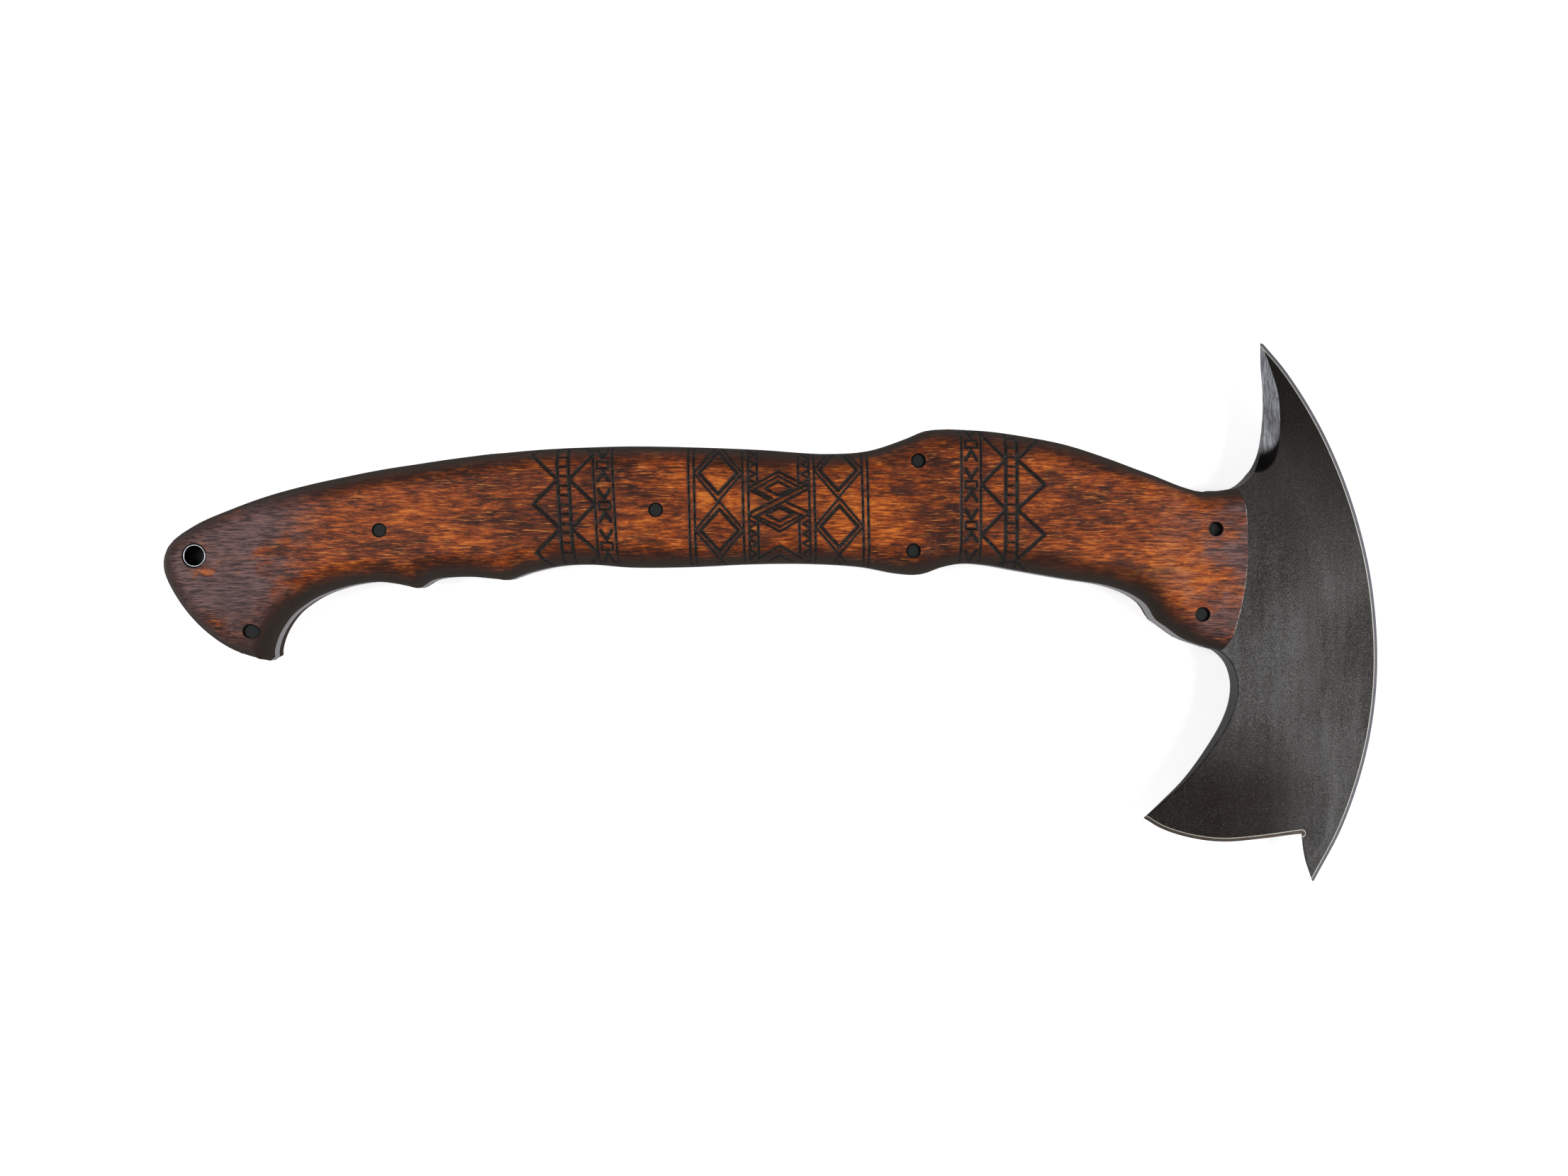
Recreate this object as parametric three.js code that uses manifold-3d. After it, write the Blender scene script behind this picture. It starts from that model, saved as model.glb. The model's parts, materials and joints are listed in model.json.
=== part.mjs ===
// Full-tang hand axe, millimetres, +Z up, lying flat on its back scale.
// +X runs from the pommel to the cutting edge and +Y from the beard to the spike.
// One steel plate makes the head and the tang. Two wooden scales cover the tang, and
// seven pins and a lanyard tube cross all three. Plan coordinates start at mid-grip,
// and the finished group is moved so that its origin is the bottom centre of its box.
import * as THREE from 'three';
import { mergeVertices } from 'three/addons/utils/BufferGeometryUtils.js';
import Module from 'manifold-3d';

const wasm = await Module();
wasm.setup();

// ---- driving dimensions ----

const TOTAL_THICKNESS = 25;
const HEAD_THICKNESS = 7;
const POMMEL_TANG_THICKNESS = 3;
const TAPER_START_X = 131;
const TAPER_END_X = -192;
const GLUE_LINE = 0.15;

const SCALE_WALL = 0.4;
const SCALE_ROUND_WIDTH = 8;
const SCALE_END_BULGE = 3.5;
const SCALE_END_BLEND = 4;

const PIN_RADIUS = 2;
const PIN_CLEARANCE = 0.15;
const PIN_SIDES = 20;
const TUBE_RADIUS = 3.5;
const TUBE_BORE_RADIUS = 2.95;
const TUBE_SETBACK = 0.2;
const TUBE_SIDES = 32;
const TUBE_CENTRE = [-178.9, 9.8];

// half thickness left at every ground edge
const EDGE_HALF_THICKNESS = 0.12;
const EDGE_BEVEL_WIDTH = 1.25;
const EDGE_BEVEL_HALF_THICKNESS = 0.5;
const MAIN_GRIND_WIDTH = 15.5;
const MAIN_GRIND_HALF_THICKNESS = 3.1;
const MAIN_GRIND_RUNOUT = 30;
const BEARD_BEVEL_WIDTH = 1.2;
const BEARD_BEVEL_HALF_THICKNESS = 0.4;
const BEARD_GRIND_WIDTH = 48;
const BEARD_GRIND_POWER = 1.4;
const SWEDGE_WIDTH = 4.4;
const SWEDGE_TAPER_Y = 56;
const SWEDGE_TIP_Y = 77;
const SWEDGE_SLOPE = 0.42;
const SWEDGE_END_Y = 36;
const SWEDGE_END_RISE = 5.5;
const SWEDGE_PLUNGE = 7;

// each pin: where it stands, and how far its front end sits below the front scale's face
const PINS = {
  grip_upper_pin: { x: -122.7, y: 17.5, recess: 0.4 },
  pommel_hook_pin: { x: -162.0, y: -13.2, recess: 1.1 },
  grip_mid_pin: { x: -38.9, y: 23.7, recess: 0.4 },
  waist_upper_pin: { x: 40.8, y: 38.6, recess: 1.1 },
  waist_lower_pin: { x: 39.3, y: 11.3, recess: 1.1 },
  head_upper_pin: { x: 131.0, y: 17.9, recess: 2.0 },
  head_lower_pin: { x: 127.0, y: -8.0, recess: 1.1 },
};
const PIN_BACK_RECESS = 0.8;

// ---- construction ----

const HANDLE_STATIONS = 54;
const MAIN_EDGE_SAMPLES = 90;
const BEARD_EDGE_SAMPLES = 30;
const SPIKE_BACK_SAMPLES = 40;
const WELD_DISTANCE = 1e-5;
const CUT_OVERRUN = 1;
const TANG_OVERLAP = 0.2;

// ---- outlines ----

// handle ribs from the head to the hook: [back x, back y, belly x, belly y]
const HANDLE_RIBS = [
  [139.4, 30.9, 134.8, -19.4],
  [134.0, 30.1, 129.5, -17.8],
  [128.5, 29.9, 123.3, -15.5],
  [123.5, 31.2, 118.8, -12.3],
  [119.0, 32.9, 115.2, -9.6],
  [114.5, 34.8, 112.4, -5.2],
  [109.0, 36.8, 107.7, -1.9],
  [100.0, 40.2, 100.0, 0.8],
  [87.0, 44.4, 87.0, 2.9],
  [74.0, 47.0, 72.0, 5.5],
  [63.5, 48.5, 63.0, 7.1],
  [56.0, 49.0, 55.8, 7.6],
  [49.5, 49.2, 49.2, 6.5],
  [43.5, 48.6, 42.2, 4.2],
  [37.0, 46.0, 35.0, 4.5],
  [26.0, 42.5, 24.0, 6.5],
  [13.0, 41.6, 8.0, 7.5],
  [-8.0, 42.9, -10.0, 7.4],
  [-29.0, 43.7, -30.0, 6.5],
  [-47.0, 44.0, -48.0, 6.4],
  [-60.0, 43.7, -60.5, 7.3],
  [-70.0, 43.3, -70.0, 6.8],
  [-79.0, 42.7, -79.0, 4.8],
  [-86.5, 42.0, -86.0, 2.5],
  [-90.5, 41.7, -89.5, 2.8],
  [-97.0, 40.9, -99.0, 3.5],
  [-106.0, 39.7, -108.8, 2.6],
  [-114.5, 38.4, -113.6, 0.0],
  [-120.0, 37.6, -117.0, 0.6],
  [-127.0, 36.4, -120.5, 1.3],
  [-136.0, 34.6, -126.5, 1.9],
  [-147.0, 32.2, -133.0, 1.2],
  [-159.0, 29.0, -139.0, -0.3],
  [-171.5, 24.5, -144.5, -2.4],
  [-182.3, 19.7, -148.9, -5.0],
  [-190.0, 13.7, -152.8, -8.1],
  [-191.9, 6.6, -155.5, -11.5],
  [-188.4, -2.2, -157.3, -14.7],
  [-180.6, -12.2, -158.3, -17.5],
  [-170.6, -19.4, -158.8, -19.9],
  [-160.2, -22.7, -158.7, -21.6],
];

// the cutting edge, from the spike's tip to the lower point
const MAIN_EDGE = [
  [149.9, 76.8],
  [157.6, 67.5],
  [167.2, 52.2],
  [174.8, 35.8],
  [180.6, 18.2],
  [184.2, 1.2],
  [185.9, -19.0],
  [185.1, -36.5],
  [181.8, -54.5],
  [175.0, -74.6],
  [165.9, -92.0],
];

// head ribs: [rear x, rear y, length along the cutting edge to the matching point]
const SPIKE_RIBS = [
  [149.3, 76.7, 0.4],
  [149.4, 69.5, 9.5],
  [150.0, 62.0, 19],
  [150.3, 55.0, 27],
  [149.9, 48.0, 35],
  [148.5, 41.0, 43],
  [145.7, 35.3, 51],
  [141.4, 31.6, 57],
  [136.5, 30.3, 62],
  [131.0, 30.1, 67],
];
const ROOT_RIBS = [
  [131.0, 30.1, 67],
  [131.0, -18.4, 100],
];
const BEARD_BACK_RIBS = [
  [131.0, -18.4, 100],
  [134.9, -19.5, 106],
  [138.8, -23.2, 111],
  [140.8, -28.8, 116],
  [140.6, -34.8, 121],
  [138.3, -41.6, 127],
  [132.9, -50.6, 134],
  [125.4, -60.3, 142],
  [118.3, -67.1, 149],
  [112.7, -72.1, 154],
];
const BEARD_EDGE_RIBS = [
  [112.7, -72.1, 154],
  [118.3, -75.4, 156.5],
  [127.0, -78.2, 158.2],
  [137.5, -79.5, 159.5],
  [150.0, -78.5, 160.8],
  [162.2, -76.8, 164],
];
const LOWER_POINT_RIBS = [
  [162.2, -76.8, 164],
  [163.3, -83.5, 172],
  [165.6, -91.8, 181],
];
const HEAD_PANELS = [
  { ribs: SPIKE_RIBS, stations: 12 },
  { ribs: ROOT_RIBS, stations: 4 },
  { ribs: BEARD_BACK_RIBS, stations: 11 },
  { ribs: BEARD_EDGE_RIBS, stations: 7 },
  { ribs: LOWER_POINT_RIBS, stations: 3 },
];

const MID_Z = TOTAL_THICKNESS / 2;

// ---- plan curves ----

function smoothCurve(points) {
  const nodes = points.map(([x, y]) => new THREE.Vector3(x, y, 0));
  return new THREE.CatmullRomCurve3(nodes, false, 'centripetal');
}

const backEdge = smoothCurve(HANDLE_RIBS.map(([x, y]) => [x, y]));
const bellyEdge = smoothCurve(HANDLE_RIBS.map(([, , x, y]) => [x, y]));
const mainEdge = smoothCurve(MAIN_EDGE);
const mainEdgeLine = mainEdge.getSpacedPoints(MAIN_EDGE_SAMPLES);
const mainEdgeLength = mainEdge.getLength();
const beardEdgeLine = smoothCurve(BEARD_EDGE_RIBS).getSpacedPoints(BEARD_EDGE_SAMPLES);
const spikeBackLine = smoothCurve(SPIKE_RIBS).getSpacedPoints(SPIKE_BACK_SAMPLES);

function distanceToLine(x, y, line) {
  let nearest = Infinity;
  for (let i = 0; i + 1 < line.length; i += 1) {
    const a = line[i];
    const b = line[i + 1];
    const dx = b.x - a.x;
    const dy = b.y - a.y;
    const along = ((x - a.x) * dx + (y - a.y) * dy) / (dx * dx + dy * dy);
    const t = THREE.MathUtils.clamp(along, 0, 1);
    nearest = Math.min(nearest, Math.hypot(x - a.x - t * dx, y - a.y - t * dy));
  }
  return nearest;
}

// ---- solids ----

// A closed solid from a grid of plan points, rows by columns, between a lower and an
// upper height at each point. From above, turning anticlockwise leads from the direction
// along a row to the direction from one row to the next.
function slab(grid, lowerZ, upperZ) {
  const rows = grid.length;
  const columns = grid[0].length;
  const positions = [];
  for (const height of [lowerZ, upperZ]) {
    for (const row of grid) {
      for (const [x, y] of row) {
        positions.push(x, y, height(x, y));
      }
    }
  }
  const at = (layer, i, j) => layer * rows * columns + i * columns + j;
  const indices = [];
  const quad = (a, b, c, d) => indices.push(a, b, c, a, c, d);
  for (let i = 0; i + 1 < rows; i += 1) {
    for (let j = 0; j + 1 < columns; j += 1) {
      quad(at(1, i, j), at(1, i, j + 1), at(1, i + 1, j + 1), at(1, i + 1, j));
      quad(at(0, i, j), at(0, i + 1, j), at(0, i + 1, j + 1), at(0, i, j + 1));
    }
  }
  const rim = [];
  for (let j = 0; j + 1 < columns; j += 1) rim.push([0, j]);
  for (let i = 0; i + 1 < rows; i += 1) rim.push([i, columns - 1]);
  for (let j = columns - 1; j > 0; j -= 1) rim.push([rows - 1, j]);
  for (let i = rows - 1; i > 0; i -= 1) rim.push([i, 0]);
  rim.forEach(([i, j], k) => {
    const [i2, j2] = rim[(k + 1) % rim.length];
    quad(at(0, i, j), at(0, i2, j2), at(1, i2, j2), at(1, i, j));
  });
  const geometry = new THREE.BufferGeometry();
  geometry.setAttribute('position', new THREE.Float32BufferAttribute(positions, 3));
  geometry.setIndex(indices);
  return geometry;
}

function toManifold(geometry) {
  const bare = geometry.clone();
  bare.deleteAttribute('normal');
  bare.deleteAttribute('uv');
  const merged = mergeVertices(bare, WELD_DISTANCE);
  return new wasm.Manifold(new wasm.Mesh({
    numProp: 3,
    vertProperties: new Float32Array(merged.attributes.position.array),
    triVerts: new Uint32Array(merged.index.array),
  }));
}

function fromManifold(solid) {
  const { vertProperties, triVerts } = solid.getMesh();
  const geometry = new THREE.BufferGeometry();
  geometry.setAttribute('position', new THREE.Float32BufferAttribute(vertProperties, 3));
  geometry.setIndex(Array.from(triVerts));
  geometry.computeVertexNormals();
  return geometry;
}

function uprightCylinder(radius, x, y, lowZ, highZ, sides) {
  const geometry = new THREE.CylinderGeometry(radius, radius, highZ - lowZ, sides);
  geometry.rotateX(Math.PI / 2);
  geometry.translate(x, y, (lowZ + highZ) / 2);
  return geometry;
}

// ---- steel plate ----

// The tang is thickest at the head and thins evenly towards the pommel.
function plateHalfThickness(x) {
  const t = THREE.MathUtils.inverseLerp(TAPER_START_X, TAPER_END_X, Math.min(x, TAPER_START_X));
  return THREE.MathUtils.lerp(HEAD_THICKNESS, POMMEL_TANG_THICKNESS, t) / 2;
}

function ramp(d, from, to, low, high) {
  return THREE.MathUtils.mapLinear(THREE.MathUtils.clamp(d, from, to), from, to, low, high);
}

// The main grind: a narrow edge bevel, a straight grind and a soft run-out to full thickness.
function mainGrind(d) {
  const full = HEAD_THICKNESS / 2;
  if (d < EDGE_BEVEL_WIDTH) {
    return ramp(d, 0, EDGE_BEVEL_WIDTH, EDGE_HALF_THICKNESS, EDGE_BEVEL_HALF_THICKNESS);
  }
  if (d < MAIN_GRIND_WIDTH) {
    const low = EDGE_BEVEL_HALF_THICKNESS;
    return ramp(d, EDGE_BEVEL_WIDTH, MAIN_GRIND_WIDTH, low, MAIN_GRIND_HALF_THICKNESS);
  }
  return ramp(d, MAIN_GRIND_WIDTH, MAIN_GRIND_RUNOUT, MAIN_GRIND_HALF_THICKNESS, full);
}

// The beard's lower edge has its own bevel and a long convex grind.
function beardGrind(d) {
  const full = HEAD_THICKNESS / 2;
  if (d < BEARD_BEVEL_WIDTH) {
    return ramp(d, 0, BEARD_BEVEL_WIDTH, EDGE_HALF_THICKNESS, BEARD_BEVEL_HALF_THICKNESS);
  }
  const t = ramp(d, BEARD_BEVEL_WIDTH, BEARD_GRIND_WIDTH, 0, 1);
  const rise = 1 - (1 - t) ** BEARD_GRIND_POWER;
  return THREE.MathUtils.lerp(BEARD_BEVEL_HALF_THICKNESS, full, rise);
}

// The spike's rear edge is thinned by a facet that narrows to the tip. Above the notch it
// ends in a round plunge, whose foot rises away from the edge.
function swedgeCut(x, y) {
  const narrowing = ramp(y, SWEDGE_TAPER_Y, SWEDGE_TIP_Y, 0, 1) ** 2;
  const width = SWEDGE_WIDTH * (1 - narrowing);
  const d = Math.min(distanceToLine(x, y, spikeBackLine), SWEDGE_WIDTH);
  const foot = SWEDGE_END_Y + SWEDGE_END_RISE * (1 - Math.sqrt(1 - (d / SWEDGE_WIDTH) ** 2));
  const rest = 1 - ramp(y, foot, foot + SWEDGE_PLUNGE, 0, 1);
  return Math.max(width - d, 0) * SWEDGE_SLOPE * Math.sqrt(1 - rest * rest);
}

function headHalfThickness(x, y) {
  const fromEdge = distanceToLine(x, y, mainEdgeLine);
  const fromBeard = distanceToLine(x, y, beardEdgeLine);
  const ground = Math.min(mainGrind(fromEdge), beardGrind(fromBeard));
  const thinned = ground - swedgeCut(x, y);
  return Math.max(thinned, Math.min(ground, 2 * EDGE_HALF_THICKNESS));
}

// Rows of points across the head keep these distances from the cutting edge and from
// the rear edge, drawn closer together where the head is narrow.
const GRIND_MIDDLE = 8;
const RUNOUT_MIDDLE = 22;
const FRONT_LEVELS = [
  0, EDGE_BEVEL_WIDTH, GRIND_MIDDLE, MAIN_GRIND_WIDTH, RUNOUT_MIDDLE, MAIN_GRIND_RUNOUT,
];
const REAR_LEVELS = [SWEDGE_WIDTH, BEARD_BEVEL_WIDTH, 0];
const LEVEL_MARGIN = 1.15;
const LEVEL_SPAN = LEVEL_MARGIN * (MAIN_GRIND_RUNOUT + SWEDGE_WIDTH);

function headRow(rear, front) {
  const span = rear.distanceTo(front);
  const squeeze = Math.min(1, span / LEVEL_SPAN) / span;
  const shares = [
    ...FRONT_LEVELS.map((d) => d * squeeze),
    ...REAR_LEVELS.map((d) => 1 - d * squeeze),
  ];
  return shares.map((share) => {
    const point = front.clone().lerp(rear, share);
    return [point.x, point.y];
  });
}

function headGrid() {
  const grid = [];
  HEAD_PANELS.forEach(({ ribs, stations }, panel) => {
    const rearEdge = smoothCurve(ribs);
    const first = panel === 0 ? 0 : 1;
    for (let k = first; k <= stations; k += 1) {
      const place = (k / stations) * (ribs.length - 1);
      const rib = Math.min(Math.floor(place), ribs.length - 2);
      const along = THREE.MathUtils.lerp(ribs[rib][2], ribs[rib + 1][2], place - rib);
      const front = mainEdge.getPointAt(along / mainEdgeLength);
      grid.push(headRow(rearEdge.getPoint(k / stations), front));
    }
  });
  return grid;
}

function tangGrid() {
  const [[, backY], [, bellyY]] = ROOT_RIBS;
  const joint = TAPER_START_X + TANG_OVERLAP;
  const grid = [[[joint, bellyY], [joint, backY]]];
  for (let k = 0; k <= HANDLE_STATIONS; k += 1) {
    const back = backEdge.getPoint(k / HANDLE_STATIONS);
    const belly = bellyEdge.getPoint(k / HANDLE_STATIONS);
    if (back.x < TAPER_START_X && belly.x < TAPER_START_X) {
      grid.push([[belly.x, belly.y], [back.x, back.y]]);
    }
  }
  return grid;
}

function steelPlate(cutters) {
  const head = slab(
    headGrid(),
    (x, y) => MID_Z - headHalfThickness(x, y),
    (x, y) => MID_Z + headHalfThickness(x, y),
  );
  const tang = slab(
    tangGrid(),
    (x) => MID_Z - plateHalfThickness(x),
    (x) => MID_Z + plateHalfThickness(x),
  );
  let solid = toManifold(head).add(toManifold(tang));
  for (const cutter of cutters) solid = solid.subtract(cutter);
  return fromManifold(solid);
}

// ---- handle scales ----

const ROUND_LEVELS = [0, 0.07, 0.26, 0.6, 1].map((share) => share * SCALE_ROUND_WIDTH);
// rows narrower than this squeeze their two rounds to fit
const FULL_ROUND_SPAN = 2.4 * SCALE_ROUND_WIDTH;

// One row of plan points from the belly edge to the back edge. The first rows bow
// towards the head, so that the scale ends in a shallow arc across the plate.
function scaleRow(belly, back, place) {
  const span = belly.distanceTo(back);
  const squeeze = Math.min(1, span / FULL_ROUND_SPAN);
  const inset = ROUND_LEVELS.map((d) => (d * squeeze) / span);
  const shares = [...inset, 0.5, ...inset.map((s) => 1 - s).reverse()];
  const bulge = SCALE_END_BULGE * Math.max(0, 1 - place / SCALE_END_BLEND) ** 2;
  const across = back.clone().sub(belly).normalize();
  return shares.map((share) => {
    const point = belly.clone().lerp(back, share);
    const bow = 4 * share * (1 - share) * bulge;
    return [point.x + across.y * bow, point.y - across.x * bow];
  });
}

function scaleGrid() {
  const grid = [];
  for (let k = 0; k <= HANDLE_STATIONS; k += 1) {
    const t = k / HANDLE_STATIONS;
    grid.push(scaleRow(bellyEdge.getPoint(t), backEdge.getPoint(t), t * (HANDLE_RIBS.length - 1)));
  }
  return grid;
}

// Height of the front scale's outer surface: flat, with an elliptical round along the
// back and belly edges.
function scaleOuterZ(grid) {
  const sides = [grid.map((row) => row[0]), grid.map((row) => row[row.length - 1])];
  const tip = [grid[grid.length - 1][0], grid[grid.length - 1].at(-1)];
  const lines = [...sides, tip].map((line) => line.map(([x, y]) => new THREE.Vector2(x, y)));
  return (x, y) => {
    const d = Math.min(...lines.map((line) => distanceToLine(x, y, line)));
    const wallTop = MID_Z + plateHalfThickness(x) + SCALE_WALL;
    const t = 1 - THREE.MathUtils.clamp(d / SCALE_ROUND_WIDTH, 0, 1);
    return wallTop + (TOTAL_THICKNESS - wallTop) * Math.sqrt(1 - t * t);
  };
}

function frontScale(cutters) {
  const grid = scaleGrid();
  const innerZ = (x) => MID_Z + plateHalfThickness(x) + GLUE_LINE;
  let solid = toManifold(slab(grid, innerZ, scaleOuterZ(grid)));
  for (const cutter of cutters) solid = solid.subtract(cutter);
  return fromManifold(solid);
}

// The back scale mirrors the front one through the middle of the plate.
function mirrored(geometry) {
  const copy = geometry.clone();
  copy.scale(1, 1, -1);
  copy.translate(0, 0, TOTAL_THICKNESS);
  const index = copy.index.array;
  for (let i = 0; i < index.length; i += 3) {
    [index[i + 1], index[i + 2]] = [index[i + 2], index[i + 1]];
  }
  copy.computeVertexNormals();
  return copy;
}

// ---- pins and tube ----

function pin({ x, y, recess }) {
  return uprightCylinder(PIN_RADIUS, x, y, PIN_BACK_RECESS, TOTAL_THICKNESS - recess, PIN_SIDES);
}

function lanyardTube() {
  const low = TUBE_SETBACK;
  const high = TOTAL_THICKNESS - TUBE_SETBACK;
  const profile = [
    [TUBE_BORE_RADIUS, low],
    [TUBE_RADIUS, low],
    [TUBE_RADIUS, high],
    [TUBE_BORE_RADIUS, high],
    [TUBE_BORE_RADIUS, low],
  ].map(([r, z]) => new THREE.Vector2(r, z));
  const geometry = new THREE.LatheGeometry(profile, TUBE_SIDES);
  geometry.rotateX(Math.PI / 2);
  geometry.translate(TUBE_CENTRE[0], TUBE_CENTRE[1], 0);
  return geometry;
}

function crossHoles() {
  const low = -CUT_OVERRUN;
  const high = TOTAL_THICKNESS + CUT_OVERRUN;
  const pinHoles = Object.values(PINS).map(({ x, y }) => (
    uprightCylinder(PIN_RADIUS + PIN_CLEARANCE, x, y, low, high, PIN_SIDES)
  ));
  const [x, y] = TUBE_CENTRE;
  const tubeHole = uprightCylinder(TUBE_RADIUS + PIN_CLEARANCE, x, y, low, high, TUBE_SIDES);
  return [...pinHoles, tubeHole].map(toManifold);
}

// ---- assembly ----

const steel = new THREE.MeshStandardMaterial({ color: 0x4a4744, roughness: 0.5, metalness: 0.9 });
const stainedWood = new THREE.MeshStandardMaterial({ color: 0x5e2a14, roughness: 0.55 });
const pinMaterial = new THREE.MeshStandardMaterial({ color: 0x17181a, roughness: 0.6 });
const tubeSteel = new THREE.MeshStandardMaterial({ color: 0xa9acb2, roughness: 0.35, metalness: 1 });

function named(name, geometry, material) {
  const mesh = new THREE.Mesh(geometry, material);
  mesh.name = name;
  return mesh;
}

const cutters = crossHoles();
const scaleGeometry = frontScale(cutters);
const axe = new THREE.Group();
axe.add(named('blade_and_tang', steelPlate(cutters), steel));
axe.add(named('front_scale', scaleGeometry, stainedWood));
axe.add(named('back_scale', mirrored(scaleGeometry), stainedWood));
for (const [name, place] of Object.entries(PINS)) {
  axe.add(named(name, pin(place), pinMaterial));
}
axe.add(named('lanyard_tube', lanyardTube(), tubeSteel));

const centre = new THREE.Box3().setFromObject(axe).getCenter(new THREE.Vector3());
axe.position.set(-centre.x, -centre.y, 0);

export default axe;
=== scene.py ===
"""Looks of a full-tang hand axe lying on a white table, seen from straight above.

The steel plate, the two carved wooden scales, the pins and the lanyard tube are built
again here as fine meshes in the CAD part's own place. Plan coordinates are millimetres
from mid-grip, as in the CAD source, and PLACE moves them into the frame.
"""

import json
import math

import bpy
import numpy as np
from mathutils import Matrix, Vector

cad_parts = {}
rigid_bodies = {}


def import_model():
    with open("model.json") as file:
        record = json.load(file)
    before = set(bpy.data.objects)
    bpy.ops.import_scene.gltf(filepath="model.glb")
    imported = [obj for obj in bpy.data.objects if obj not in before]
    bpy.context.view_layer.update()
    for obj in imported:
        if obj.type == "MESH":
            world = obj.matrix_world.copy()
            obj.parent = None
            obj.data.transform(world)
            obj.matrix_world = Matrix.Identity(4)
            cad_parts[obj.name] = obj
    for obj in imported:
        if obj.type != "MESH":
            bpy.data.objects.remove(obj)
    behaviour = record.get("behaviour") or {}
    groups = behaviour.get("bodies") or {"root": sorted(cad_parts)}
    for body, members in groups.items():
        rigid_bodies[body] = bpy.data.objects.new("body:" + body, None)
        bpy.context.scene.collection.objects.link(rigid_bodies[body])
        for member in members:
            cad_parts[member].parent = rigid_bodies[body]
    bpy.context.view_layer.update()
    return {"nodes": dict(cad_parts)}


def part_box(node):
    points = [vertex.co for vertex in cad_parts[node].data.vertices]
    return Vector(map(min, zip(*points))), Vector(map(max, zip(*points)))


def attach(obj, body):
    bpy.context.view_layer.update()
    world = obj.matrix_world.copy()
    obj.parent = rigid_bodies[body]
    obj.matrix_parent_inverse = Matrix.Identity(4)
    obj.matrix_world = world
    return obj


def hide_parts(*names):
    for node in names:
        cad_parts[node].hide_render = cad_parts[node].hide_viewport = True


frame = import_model()

MM = 0.001

# ---- sizes, as in the CAD source ----

TOTAL_THICKNESS = 25
MID_Z = TOTAL_THICKNESS / 2
HEAD_THICKNESS = 7
POMMEL_TANG_THICKNESS = 3
TAPER_START_X = 131
TAPER_END_X = -192
GLUE_LINE = 0.15
SCALE_WALL = 0.4
SCALE_ROUND_WIDTH = 8
SCALE_END_BULGE = 3.5
SCALE_END_BLEND = 4
PIN_RADIUS = 2
TUBE_RADIUS = 3.5
TUBE_BORE_RADIUS = 2.95
TUBE_CENTRE = (-178.9, 9.8)
EDGE_HALF_THICKNESS = 0.12
EDGE_BEVEL_WIDTH = 1.25
EDGE_BEVEL_HALF_THICKNESS = 0.5
MAIN_GRIND_WIDTH = 15.5
MAIN_GRIND_HALF_THICKNESS = 3.1
MAIN_GRIND_RUNOUT = 30
BEARD_BEVEL_WIDTH = 1.2
BEARD_BEVEL_HALF_THICKNESS = 0.4
BEARD_GRIND_WIDTH = 48
BEARD_GRIND_POWER = 1.4
SWEDGE_WIDTH = 4.4
SWEDGE_TAPER_Y = 56
SWEDGE_TIP_Y = 77
SWEDGE_SLOPE = 0.42
SWEDGE_END_Y = 36
SWEDGE_END_RISE = 5.5
SWEDGE_PLUNGE = 7

# handle ribs from the head to the hook: (back x, back y, belly x, belly y)
HANDLE_RIBS = (
    (139.4, 30.9, 134.8, -19.4),
    (134.0, 30.1, 129.5, -17.8),
    (128.5, 29.9, 123.3, -15.5),
    (123.5, 31.2, 118.8, -12.3),
    (119.0, 32.9, 115.2, -9.6),
    (114.5, 34.8, 112.4, -5.2),
    (109.0, 36.8, 107.7, -1.9),
    (100.0, 40.2, 100.0, 0.8),
    (87.0, 44.4, 87.0, 2.9),
    (74.0, 47.0, 72.0, 5.5),
    (63.5, 48.5, 63.0, 7.1),
    (56.0, 49.0, 55.8, 7.6),
    (49.5, 49.2, 49.2, 6.5),
    (43.5, 48.6, 42.2, 4.2),
    (37.0, 46.0, 35.0, 4.5),
    (26.0, 42.5, 24.0, 6.5),
    (13.0, 41.6, 8.0, 7.5),
    (-8.0, 42.9, -10.0, 7.4),
    (-29.0, 43.7, -30.0, 6.5),
    (-47.0, 44.0, -48.0, 6.4),
    (-60.0, 43.7, -60.5, 7.3),
    (-70.0, 43.3, -70.0, 6.8),
    (-79.0, 42.7, -79.0, 4.8),
    (-86.5, 42.0, -86.0, 2.5),
    (-90.5, 41.7, -89.5, 2.8),
    (-97.0, 40.9, -99.0, 3.5),
    (-106.0, 39.7, -108.8, 2.6),
    (-114.5, 38.4, -113.6, 0.0),
    (-120.0, 37.6, -117.0, 0.6),
    (-127.0, 36.4, -120.5, 1.3),
    (-136.0, 34.6, -126.5, 1.9),
    (-147.0, 32.2, -133.0, 1.2),
    (-159.0, 29.0, -139.0, -0.3),
    (-171.5, 24.5, -144.5, -2.4),
    (-182.3, 19.7, -148.9, -5.0),
    (-190.0, 13.7, -152.8, -8.1),
    (-191.9, 6.6, -155.5, -11.5),
    (-188.4, -2.2, -157.3, -14.7),
    (-180.6, -12.2, -158.3, -17.5),
    (-170.6, -19.4, -158.8, -19.9),
    (-160.2, -22.7, -158.7, -21.6),
)

# the cutting edge, from the spike's tip to the lower point
MAIN_EDGE = (
    (149.9, 76.8),
    (157.6, 67.5),
    (167.2, 52.2),
    (174.8, 35.8),
    (180.6, 18.2),
    (184.2, 1.2),
    (185.9, -19.0),
    (185.1, -36.5),
    (181.8, -54.5),
    (175.0, -74.6),
    (165.9, -92.0),
)

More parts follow.
